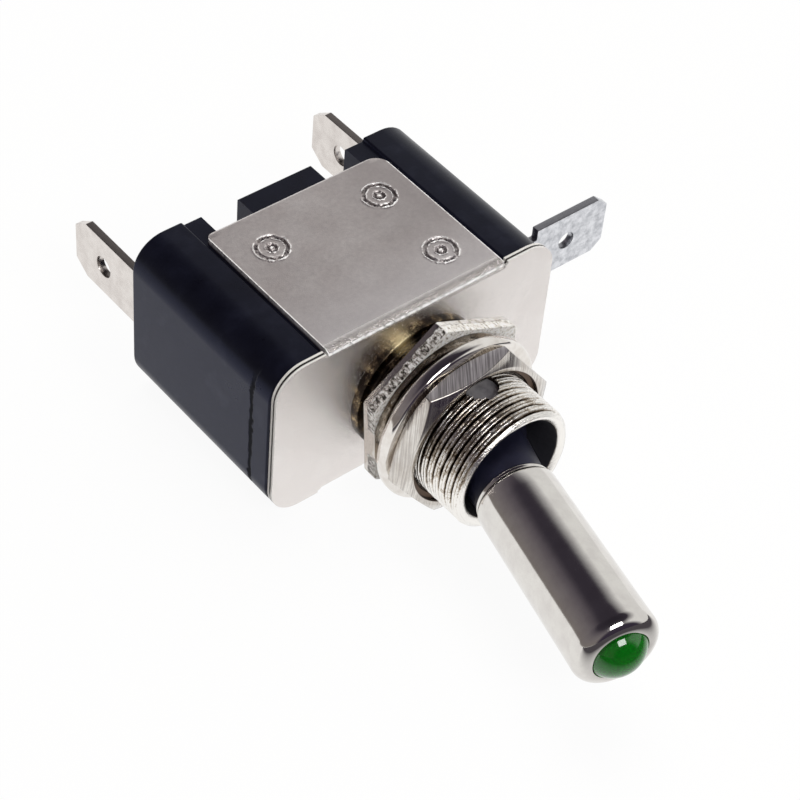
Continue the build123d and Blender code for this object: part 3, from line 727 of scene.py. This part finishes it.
def satinNickelSheet():
    # Nickel over cold-rolled sheet: the strap is rubbed to a mottled satin grey, the fold is finely
    # cracked, and the front plate stays bright and a little wavy, like a poor mirror
    material, add = newMaterial("satinNickelSheet")
    place = add("TexCoord", output=3)
    x, y, z = add("SeparateXYZ", [place], None)
    cloud = add("TexNoise", [place, 1 / (3.1 * mm), 5, 0.62])
    mottle = add("TexNoise", [place, 1 / (0.42 * mm), 4, 0.7])
    grain = add("TexNoise", [place, 1 / (0.11 * mm), 3, 0.7])  # real cracks are about 0.03 mm
    wave = add("TexNoise", [place, 1 / (4.2 * mm), 1, 0.4])
    # The strap is mottled, paler behind the fold as a painted highlight and darker to the rear
    # right as painted shade
    satin = add("MapRange", [y, 4.5 * mm, 5.6 * mm])
    plate = add("ValToRGB", [cloud], stops=((0.32, "#ddd4c9"), (0.7, "#e9e3d9")))
    strap = add("ValToRGB", [cloud], stops=((0.32, "#d9d0cd"), (0.7, "#e8e1de")))
    colour = add("Mix RGBA", [satin, plate, strap])
    patchy = add("Math MULTIPLY", [add("MapRange", [mottle, 0.36, 0.66, 0, 0.3]), satin])
    paintedFoldHighlight = add("MapRange", [y, 12 * mm, 5.2 * mm, 0, 0.6])
    rightward = add("MapRange", [x, 1 * mm, 8 * mm, 0, 0.5])
    shade = add("Math MULTIPLY", [rightward, add("MapRange", [y, 8 * mm, 13 * mm])])
    # Cracks on the fold, and painted shade on the sunken ground of the stamped marks
    wide = add("Math ABSOLUTE", [x])
    narrow = add("MapRange", [wide, 9.62 * mm, 9.66 * mm, 1, 0])
    upper = add("Math MULTIPLY", [add("MapRange", [z, 7.7 * mm, 7.8 * mm]), narrow])
    fold = add("MapRange", [y, 4.7 * mm, 5.1 * mm, 1, 0])
    speckle = add("MapRange", [grain, 0.44, 0.56, 0.6, 0])
    speckle = add("Math MULTIPLY", [speckle, add("Math MULTIPLY", [fold, upper])])
    paintedMarkShade = add("MapRange", [z, 8.48 * mm, 8.42 * mm, 0, 0.55])
    inner = add("MapRange", [wide, 8.9 * mm, 9 * mm, 1, 0])
    inner = add("Math MULTIPLY", [inner, add("Math MULTIPLY", [satin, upper])])
    paintedMarkShade = add("Math MULTIPLY", [paintedMarkShade, inner])
    # The ears' sheared sides are painted pale as a painted highlight, with a painted dark
    # reflection line along their middle
    facing = add("SeparateXYZ", [add("TexCoord", output=1)], 1)
    sideways = add("MapRange", [add("Math ABSOLUTE", [facing]), 0.15, 0.35, 1, 0])
    sheared = add("Math MULTIPLY", [sideways, add("MapRange", [wide, 9.7 * mm, 9.8 * mm])])
    across = add("Math ABSOLUTE", [add("Math ADD", [y, -4.36 * mm])])
    torn = add("MapRange", [across, 0.05 * mm, 0.14 * mm, 1, 0])
    rim = add("Mix RGBA", [torn, "#f4f1ec", "#332d2a"])
    # Edges and the marks' raised lips are painted white as highlights
    lip = add("MapRange", [z, 8.505 * mm, 8.54 * mm])
    sideEdge = add("MapRange", [wide, 9.47 * mm, 9.53 * mm])
    rearEdge = add("MapRange", [y, 21.3 * mm, 21.36 * mm, 0, 0.5])
    frontEdge = add("MapRange", [y, 4.3 * mm, 4.22 * mm])
    edges = add("Math MAXIMUM", [add("Math MAXIMUM", [sideEdge, rearEdge]), frontEdge])
    high = add("Math MULTIPLY", [add("MapRange", [z, 8.02 * mm, 8.1 * mm]), narrow])
    for part in (high, add("MapRange", [mottle, 0.34, 0.52, 0.25, 1])):
        edges = add("Math MULTIPLY", [edges, part])
    rubbed = add("Math MAXIMUM", [edges, lip])
    for share, layer in (
        (patchy, "#b1a8a8"), (paintedFoldHighlight, "#fbf6f6"), (shade, "#b3abaa"), (speckle, "#6b6159"),
        (paintedMarkShade, "#5f5656"), (sheared, rim), (rubbed, "#fdfcfa"),
    ):
        colour = add("Mix RGBA", [share, colour, layer])
    # The painted highlights on the edges, lips and ears' sides lose most of their metal, so they
    # show white
    pale = add("Math MULTIPLY", [add("Math MULTIPLY_ADD", [torn, -1, 1]), sheared])
    metal = add("Math MULTIPLY_ADD", [add("Math MAXIMUM", [rubbed, pale]), -0.8, 1])
    rough = add("MapRange", [satin, 0, 1, 0.07, 0.36])
    rough = add("Math MULTIPLY_ADD", [mottle, 0.06, rough])
    depth = add("Math MULTIPLY_ADD", [fold, 0.05, 0.008])
    height = add("Math MULTIPLY", [grain, depth])
    fine = add("Bump", {"Height": height, "Distance": 1.6 * mm})
    broad = add("Bump", {"Height": wave, "Strength": 0.6, "Distance": 0.06 * mm, "Normal": fine})
    add("OutputMaterial", [add("BsdfPrincipled", {
        "Base Color": colour, "Roughness": rough, "Normal": broad, "Metallic": metal,
    })])
    return material


def plainMetal(
    name, tone, dark, roughness, grainMm, bumpMm, lines=(1, 1, 1), cloudMm=1.3, edge=None
):
    # A metal with a fine grain, drawn out along an axis where a tool ran along it. An edge colour
    # goes on what faces up, and so darkens the blades' top edges
    material, add = newMaterial(name)
    place = add("TexCoord", output=3)
    drawn = add("VectorMath MULTIPLY", [place, lines])
    grain = add("TexNoise", [drawn, 1 / (grainMm * mm), 4, 0.65])
    cloud = add("TexNoise", [place, 1 / (cloudMm * mm), 4, 0.6])
    colour = add("ValToRGB", [cloud], stops=((0.34, dark), (0.62, tone)))
    if edge:
        facing = add("SeparateXYZ", [add("TexCoord", output=1)], 2)
        upward = add("MapRange", [facing, 0.85, 0.95, 0, 0.9])
        colour = add("Mix RGBA", [upward, colour, edge])
    rough = add("MapRange", [grain, 0.25, 0.75, roughness * 0.7, roughness * 1.35])
    bump = add("Bump", {"Height": grain, "Distance": bumpMm * mm})
    add("OutputMaterial", [add("BsdfPrincipled", {
        "Base Color": colour, "Roughness": rough, "Normal": bump, "Metallic": 1,
    })])
    return material


def brightNickelThread():
    # Rolled thread in bright nickel: crests rubbed pale with fine lines round them, flanks warm,
    # darker and browner towards the roots, painted warm shade and a painted golden highlight behind
    # the back nut, and the bore painted near-black as painted shade
    material, add = newMaterial("brightNickelThread")
    place = add("TexCoord", output=3)
    x, y, z = add("SeparateXYZ", [place], None)
    flat = add("VectorMath MULTIPLY", [place, (1, 0, 1)])
    radius = add("VectorMath LENGTH", [flat])
    crest = add("MapRange", [radius, 5.84 * mm, 6.12 * mm])
    mouth = add("MapRange", [y, -8.95 * mm, -9.15 * mm, 0, 1.2])
    height = add("Math MAXIMUM", [crest, mouth])
    # Darker in patches and on the side that faces up and to the left
    outward = add("VectorMath NORMALIZE", [flat])
    facing = add("VectorMath DOT_PRODUCT", [outward, (-0.5, 0, 0.87)])
    upperLeftDarker = add("MapRange", [facing, 0.25, 0.9, 0, 0.42])
    lineX = add("Math MULTIPLY", [add("Math ARCTAN2", [x, z]), 0.0012])
    # The real lines are about 0.02 mm apart, so these are drawn coarser
    lines = add("TexNoise", [add("CombineXYZ", [lineX, y]), 1 / (0.09 * mm), 3, 0.7])
    patch = add("TexNoise", [place, 1 / (1.2 * mm), 4, 0.6])
    grit = add("TexNoise", [place, 1 / (0.17 * mm), 4, 0.72])
    darkening = add("Math ADD", [add("Math MULTIPLY_ADD", [patch, 1.5, -0.8]), upperLeftDarker])
    worn = add("Math SUBTRACT", [height, darkening])
    worn = add("Math ADD", [worn, add("Math MULTIPLY_ADD", [grit, 1.9, -0.95])])
    colour = add("ValToRGB", [worn], stops=(
        (0.08, "#2a1f18"), (0.3, "#6f5f4e"), (0.52, "#beb2a2"), (0.8, "#f6f3ee"),
    ))
    # Painted warm shade and sheen on the collar behind the back nut
    hidden = add("MapRange", [y, 0.8 * mm, 1.5 * mm])
    paintedWarmShadeAndSheen = add("ValToRGB", [patch], stops=((0.44, "#2f2823"), (0.56, "#6e5f4c"), (0.67, "#dcc79c")))
    # A painted golden highlight just behind the back nut, with less metal so it lights up
    near = add("VectorMath DISTANCE", [place, (-2.4 * mm, 3.4 * mm, 6.4 * mm)])
    glint = add("MapRange", [near, 0.4 * mm, 1.5 * mm, 0.9, 0])
    # The bore is painted near-black as painted shade, dull and not metallic
    inside = add("MapRange", [radius, 5.06 * mm, 5.16 * mm, 1, 0])
    for share, layer in ((hidden, paintedWarmShadeAndSheen), (glint, "#f6e2b0"), (inside, "#100f1a")):
        colour = add("Mix RGBA", [share, colour, layer])
    metal = add("Math MULTIPLY_ADD", [glint, -0.6, add("Math SUBTRACT", [1, inside])])
    rough = add("MapRange", [worn, 0, 1, 0.38, 0.13])
    rough = add("Math MULTIPLY_ADD", [inside, 0.5, rough])
    relief = add("Math ADD", [lines, grit])
    bump = add("Bump", {"Height": relief, "Distance": 0.03 * mm})
    add("OutputMaterial", [add("BsdfPrincipled", {
        "Base Color": colour, "Roughness": rough, "Normal": bump, "Metallic": metal,
    })])
    return material


def blankedNickelNut():
    # Blanked from plate: the rear half of each flat is burnished dark and smooth by the punch, the
    # front half tore and stays a rough silvery crust under its plating
    material, add = newMaterial("blankedNickelNut")
    place = add("TexCoord", output=3)
    y = add("SeparateXYZ", [place], 1)
    radius = add("VectorMath LENGTH", [add("VectorMath MULTIPLY", [place, (1, 0, 1)])])
    ragged = add("TexNoise", [place, 1 / (0.8 * mm), 5, 0.72])
    edge = add("Math MULTIPLY_ADD", [ragged, 0.7 * mm, y])
    outside = add("MapRange", [radius, 7.55 * mm, 7.7 * mm])
    torn = add("Math MULTIPLY", [add("MapRange", [edge, 1.22 * mm, 1.3 * mm, 1, 0]), outside])
    drawn = add("VectorMath MULTIPLY", [place, (1, 0.55, 1)])
    pits = add("TexNoise", [drawn, 1 / (0.3 * mm), 4, 0.75])
    fine = add("TexNoise", [drawn, 1 / (0.5 * mm), 3, 0.6])
    crust = add("ValToRGB", [pits], stops=((0.42, "#17120f"), (0.5, "#a59d94"), (0.58, "#fbfaf8")))
    # Painted highlight flecks, for the flats that face away from the upper left
    paintedHighlightFlecks = add("ValToRGB", [pits], stops=(
        (0.36, "#7d6f60"), (0.46, "#f4efe6"), (0.6, "#ffffff"),
    ))
    # Painted shade on the rear face, which the plate reflects dark brown
    paintedRearShade = add("MapRange", [y, 1.4 * mm, 1.44 * mm])
    # Painted highlight: flats that do not face up and to the left get pale flecks and less metal
    facing = add("VectorMath DOT_PRODUCT", [add("TexCoord", output=1), (-0.819, 0, 0.574)])
    sides = add("Math MULTIPLY", [add("MapRange", [facing, 0.8, 0.6]), outside])
    colour = add("Mix RGBA", [torn, "#ccc6bf", crust])
    for share, layer in ((paintedRearShade, "#45362a"), (add("Math MULTIPLY", [sides, 0.9]), paintedHighlightFlecks)):
        colour = add("Mix RGBA", [share, colour, layer])
    rough = add("Math MULTIPLY_ADD", [torn, 0.2, 0.14])
    metal = add("Math MULTIPLY_ADD", [torn, -0.55, 1])
    metal = add("Math MULTIPLY_ADD", [sides, -0.4, metal])
    deep = add("Math MULTIPLY", [pits, add("Math MULTIPLY_ADD", [torn, 0.97, 0.03])])
    bump = add("Bump", {"Height": deep, "Distance": 0.16 * mm})
    wavy = add("Bump", {"Height": fine, "Strength": 0.6, "Distance": 0.03 * mm, "Normal": bump})
    add("OutputMaterial", [add("BsdfPrincipled", {
        "Base Color": colour, "Roughness": rough, "Normal": wavy, "Metallic": metal,
    })])
    return material


def drawnNickelNut():
    # Milled hexagon in bright nickel: fine tool lines cross the flats on a slant, the upper flat is
    # dulled and painted dark as a painted reflection of the dark overhead, and the sunk face round
    # the thread is painted brown as painted shade
    material, add = newMaterial("drawnNickelNut")
    place = add("TexCoord", output=3)
    x, y, z = add("SeparateXYZ", [place], None)
    across = add("VectorMath DOT_PRODUCT", [place, (0.8, -0.595, -0.075)])
    alongY, alongZ = (add("Math MULTIPLY", [axis, 0.03]) for axis in (y, z))
    # The real tool lines are about 0.03 mm apart, so these are drawn coarser
    drawn = add("TexNoise", [add("CombineXYZ", [across, alongY, alongZ]), 1 / (0.13 * mm), 2, 0.6])
    cloud = add("TexNoise", [place, 1 / (1.6 * mm), 3, 0.6])
    radius = add("VectorMath LENGTH", [add("VectorMath MULTIPLY", [place, (1, 0, 1)])])
    # Painted shade: the sunk face round the thread is painted brown
    sunk = add("MapRange", [radius, 6.86 * mm, 6.92 * mm, 1, 0])
    streak = add("MapRange", [drawn, 0.42, 0.58, 0.6, 0])
    # Painted reflection: the upper flat is darker and less metallic
    facing = add("SeparateXYZ", [add("TexCoord", output=1)], 2)
    upward = add("MapRange", [facing, 0.93, 0.99])
    upper = add("Math MULTIPLY", [upward, 0.8])
    paintedDarkReflection = add("ValToRGB", [drawn], stops=((0.38, "#4f4b52"), (0.6, "#8d8990")))
    colour = add("ValToRGB", [cloud], stops=((0.35, "#d2ccc4"), (0.65, "#e8e4de")))
    for share, layer in ((streak, "#a39c98"), (upper, paintedDarkReflection), (sunk, "#4a382a")):
        colour = add("Mix RGBA", [share, colour, layer])
    metal = add("Math MULTIPLY_ADD", [upward, -0.65, 1])
    rough = add("MapRange", [drawn, 0.3, 0.7, 0.12, 0.28])
    bump = add("Bump", {"Height": drawn, "Distance": 0.003 * mm})
    add("OutputMaterial", [add("BsdfPrincipled", {
        "Base Color": colour, "Roughness": rough, "Normal": bump, "Metallic": metal,
    })])
    return material


def mouldedPhenolic():
    # Black phenolic: near-black with a blue cast, a satin skin with faint rubbed smears, and a
    # rough dark line of flash where the two halves meet
    material, add = newMaterial("mouldedPhenolic")
    place = add("TexCoord", output=3)
    x, y, z = add("SeparateXYZ", [place], None)
    skin = add("TexNoise", [place, 1 / (0.16 * mm), 3, 0.6])  # the real skin is about 0.05 mm
    cloud = add("TexNoise", [place, 1 / (3.4 * mm), 4, 0.6])
    ragged = add("TexNoise", [place, 1 / (1 * mm), 5, 0.7])
    beside = add("Math MULTIPLY_ADD", [ragged, 1 * mm, add("Math ADD", [y, -7.55 * mm])])
    seam = add("MapRange", [add("Math ABSOLUTE", [beside]), 0.15 * mm, 0.28 * mm, 1, 0])
    near = add("VectorMath DISTANCE", [place, (-15.2 * mm, 6.9 * mm, 0.3 * mm)])
    near = add("Math MULTIPLY_ADD", [ragged, 1.1 * mm, near])
    flash = add("MapRange", [near, 0.8 * mm, 0.92 * mm, 1, 0])
    low = add("MapRange", [z, 5.6 * mm, 7.4 * mm, 1, 0])
    seam = add("Math MULTIPLY", [add("Math MAXIMUM", [seam, flash]), low])
    # Painted sheen: the side that faces left is painted a lighter blue and made less glossy
    facing = add("SeparateXYZ", [add("TexCoord", output=1)])
    paintedLeftSheen = add("MapRange", [facing, -0.86, -0.99])
    colour = add("ValToRGB", [cloud], stops=((0.3, "#0c0c14"), (0.7, "#13141f")))
    for share, layer in ((paintedLeftSheen, "#1f2238"), (seam, "#040407")):
        colour = add("Mix RGBA", [share, colour, layer])
    rough = add("MapRange", [cloud, 0.3, 0.7, 0.26, 0.36])
    rough = add("Math MULTIPLY_ADD", [seam, 0.4, rough])
    gloss = add("Math MULTIPLY_ADD", [add("MapRange", [cloud, 0.56, 0.74]), 0.1, 0.19])
    gloss = add("Math MULTIPLY_ADD", [paintedLeftSheen, -0.05, gloss])
    sunk = add("Math MULTIPLY_ADD", [seam, -9, skin])
    bump = add("Bump", {"Height": sunk, "Strength": 0.6, "Distance": 0.012 * mm})
    add("OutputMaterial", [add("BsdfPrincipled", {
        "Base Color": colour, "Roughness": rough, "Normal": bump, "Specular IOR Level": gloss,
        "Specular Tint": "#b9c2ec",
    })])
    return material


def plainPlastic(name, tone, light, roughness, grainMm):
    # Moulded or dipped plastic: an even colour that drifts a little, under a fine skin
    material, add = newMaterial(name)
    place = add("TexCoord", output=3)
    skin = add("TexNoise", [place, 1 / (grainMm * mm), 3])
    cloud = add("TexNoise", [place, 1 / (1.6 * mm), 3])
    colour = add("ValToRGB", [cloud], stops=((0.3, tone), (0.7, light)))
    rough = add("MapRange", [cloud, 0.3, 0.7, roughness * 0.85, roughness * 1.2])
    bump = add("Bump", {"Height": skin, "Strength": 0.5, "Distance": 0.01 * mm})
    add("OutputMaterial", [add("BsdfPrincipled", {
        "Base Color": colour, "Roughness": rough, "Normal": bump, "Specular IOR Level": 0.3,
    })])
    return material


def tintedResinLamp():
    # Cast green resin: deep and glassy, painted a touch lighter towards the rim as a painted glow
    # of light coming up through it
    material, add = newMaterial("tintedResinLamp")
    cloud = add("TexNoise", [add("TexCoord", output=3), 1 / (2 * mm), 2])
    facing = add("LayerWeight", [0.35], 1)
    colour = add("ValToRGB", [facing], stops=((0.15, "#04650a"), (0.9, "#0e6a12")))
    rough = add("MapRange", [cloud, 0.3, 0.7, 0.07, 0.11])
    add("OutputMaterial", [add("BsdfPrincipled", {
        "Base Color": colour, "Roughness": rough, "IOR": 1.55, "Subsurface Weight": 0.35,
        "Subsurface Scale": 0.8 * mm, "Coat Weight": 0.4,
    })])
    return material


dress(makeBracket(), satinNickelSheet(), "base", "mounting_bracket")
print("bracket made")
phenolic = mouldedPhenolic()
dress(makeHousingRear(), phenolic, "base", "housing_rear")
dress(makeHousingFront(), phenolic, "base", "housing_front")
print("housing made")
dress(makeBushing(), brightNickelThread(), "base", "threaded_bushing")
dress(makeNut("backNut", backNutSizes), blankedNickelNut(), "base", "back_nut")
dress(makeNut("frontNut", frontNutSizes), drawnNickelNut(), "base", "front_nut")
polished = plainMetal("polishedNickelWasher", "#e9e5e0", "#dcd6cf", 0.06, 0.5, 0.002)
dress(makeWasher(), polished, "base", "panel_washer")
print("bushing and nuts made")
rolled = plainMetal(
    "rolledNickelBlade", "#e2dcd7", "#d2cbc6", 0.27, 0.12, 0.004, (1, 0.15, 1), edge="#5a5351"
)
mottled = plainMetal(
    "mottledTinBlade", "#e4e5e9", "#b4b6bb", 0.33, 0.22, 0.014, cloudMm=0.8, edge="#8b8b90"
)
for name, side, sizes in (("load", -1, loadSizes), ("power", 1, powerSizes)):
    blade = makeRearBlade(name + "Blade", side, sizes)
    dress(blade, rolled, "base", "terminal_" + name)
dress(makeSideBlade(), mottled, "base", "terminal_earth")
print("terminals made")
buffedChrome = plainMetal("buffedChromeSleeve", "#dfdcd7", "#d6d2ce", 0.08, 0.6, 0.002)
dress(makeSleeve(), buffedChrome, "lever", "toggle_sleeve")
dress(makeLamp(), tintedResinLamp(), "lever", "led_lamp")
print("lever made")
for name, slotName, finish in (
    ("anode", "wire_red", plainPlastic("redInsulation", "#9a1717", "#b32222", 0.4, 0.1)),
    ("cathode", "wire_black", plainPlastic("blackInsulation", "#101012", "#1a1a1d", 0.4, 0.1)),
):
    corners = wireSizes[name]
    wire = makeTube(name + "Wire", wirePath(corners), wireSizes["radius"], wireSizes["sides"])
    wire.data.materials.append(finish)
    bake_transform(wire)
    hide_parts(name + "_wire")
spring = makeSpring()
springWire = plainMetal("springWire", "#9b9a98", "#6f6e6c", 0.24, 0.08, 0.004)
dress(spring, springWire, "lever", "plunger_spring")
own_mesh(spring)
print("wires and spring made")

# The CAD nodes that stay get their real finishes

keptFinishes = {
    "plunger": plainMetal("turnedBrass", "#d1ab5f", "#b08a45", 0.22, 0.08, 0.004, (1, 0.1, 1)),
    "rocker_contact fulcrum_bracket": plainMetal(
        "stampedBrass", "#cfa961", "#a9854a", 0.3, 0.15, 0.008
    ),
    "led_anode_lead led_cathode_lead resistor_leads": plainMetal(
        "tinnedWire", "#d6d6d4", "#b5b4b0", 0.26, 0.1, 0.006
    ),
    "moving_contact_tip fixed_contact_tip": plainMetal(
        "silverTip", "#e6e4df", "#c9c5bc", 0.28, 0.1, 0.006
    ),
    "toggle_core": plainPlastic("mouldedNylonCore", "#171726", "#1f2034", 0.42, 0.14),
    "pivot_pin": plainMetal("groundSteelPin", "#f0eef0", "#c9c6cb", 0.62, 0.09, 0.01),
    "series_resistor": plainPlastic("lacqueredResistor", "#b99a6a", "#c9ac7c", 0.22, 0.2),
}
for nodeNames, finish in keptFinishes.items():
    for nodeName in nodeNames.split():
        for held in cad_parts[nodeName].material_slots:
            held.material = finish
print("kept nodes dressed")

# Floor: pale and plain, white to the camera but for a faint contact shadow

floorSizes = {"half": 0.7, "height": -9.05 * mm}
half, level = floorSizes["half"], floorSizes["height"]
corners = [(x * half, y * half, level) for x, y in ((-1, -1), (1, -1), (1, 1), (-1, 1))]
floorMesh = bpy.data.meshes.new("floor")
floorMesh.from_pydata(corners, [], [(0, 1, 2, 3)])
floor = newObject("floor", floorMesh)
paper, add = newMaterial("whitePaperFloor")
rays = add("LightPath", output=None)
toCamera, glossy = rays[0], rays[3]
depthward = add("SeparateXYZ", [add("TexCoord", output=3)], 1)
inFront = add("MapRange", [depthward, -0.05, -0.03])
shadowed = add("Math MAXIMUM", [inFront, toCamera])
paleDiffuse = add("BsdfDiffuse", ["#fbfaf8"])
glow = add("Emission", [add("Mix RGBA", [shadowed, "#2d2733", "#ffffff"]), 1])
share = add("Math MULTIPLY", [add("Math MAXIMUM", [toCamera, glossy]), 0.94])
add("OutputMaterial", [add("MixShader", [share, paleDiffuse, glow])])
floorMesh.materials.append(paper)

# World: white to the camera; in reflections bright to the right, grey behind and dark overhead

scene.world = bpy.data.worlds.new("studio")
scene.world.use_nodes = True
scene.world.node_tree.nodes.clear()
add = partial(addNode, scene.world.node_tree)
across, along, up = add("SeparateXYZ", [add("TexCoord")], None)
room = add("ValToRGB", [up], stops=(
    (0, "#857f7c"), (0.25, "#7f797a"), (0.5, "#726c70"), (0.68, "#5d575e"), (0.8, "#3b363f"),
    (1, "#2c2830"),
))
rightward = add("MapRange", [across, 0.12, 0.44])
lowDown = add("MapRange", [up, 0.58, 0.82, 1, 0])
below = add("MapRange", [up, -0.05, 0.03, 1, 0])
lit = add("Math MAXIMUM", [add("Math MULTIPLY", [rightward, lowDown]), below])
toned = add("Mix RGBA", [lit, room, (0.86, 0.86, 0.85, 1)])
ahead = add("MapRange", [along, -0.72, -0.86])
toned = add("Mix RGBA", [ahead, toned, "#3a3342"])
shown = add("Mix RGBA", [add("LightPath"), toned, "#ffffff"])
add("OutputWorld", [add("Background", [shown, 1])])


# Lights: one softbox in front, and a weak fill that shows in no reflection

def addLight(name, direction, distance, size, energy, tone="#ffffff", glossy=True):
    lamp = bpy.data.lights.new(name, "AREA")
    lamp.shape = "RECTANGLE"
    lamp.size, lamp.size_y = size
    lamp.energy = energy
    lamp.color = toLinear(tone)[:3]
    light = newObject(name, lamp)
    away = Vector(direction).normalized()
    light.location = away * distance
    light.rotation_euler = away.to_track_quat("Z", "Y").to_euler()
    light.visible_glossy = glossy


addLight("frontSoftbox", (-0.068, -0.73, 0.68), 0.6, (0.26, 0.2), 1.6)
addLight("topFill", (0.2, 0.3, 0.93), 0.7, (0.5, 0.5), 3, "#fffdf8", False)

# Camera: fitted to the photograph; its rows point right, down and away from it

cameraSizes = {
    "lens": 107.846, "sensor": 36, "clip": 0.01, "place": (-100.66, -101.55, 147.33),
    "rows": (
        (0.77374065, -0.62961833, 0.07004402),
        (-0.41615825, -0.58852953, -0.69314161),
        (0.47763765, 0.50716244, -0.71739009),
    ),
}
cameraData = bpy.data.cameras.new("camera")
cameraData.lens = cameraSizes["lens"]
cameraData.sensor_width = cameraSizes["sensor"]
cameraData.clip_start = cameraSizes["clip"]
camera = newObject("camera", cameraData)
turn = Matrix(cameraSizes["rows"]).transposed() @ Matrix.Diagonal((1, -1, -1))
camera.matrix_world = Matrix.Translation(Vector(cameraSizes["place"]) * mm) @ turn.to_4x4()
scene.camera = camera
scene.view_settings.view_transform = "Standard"

print("scene ready")
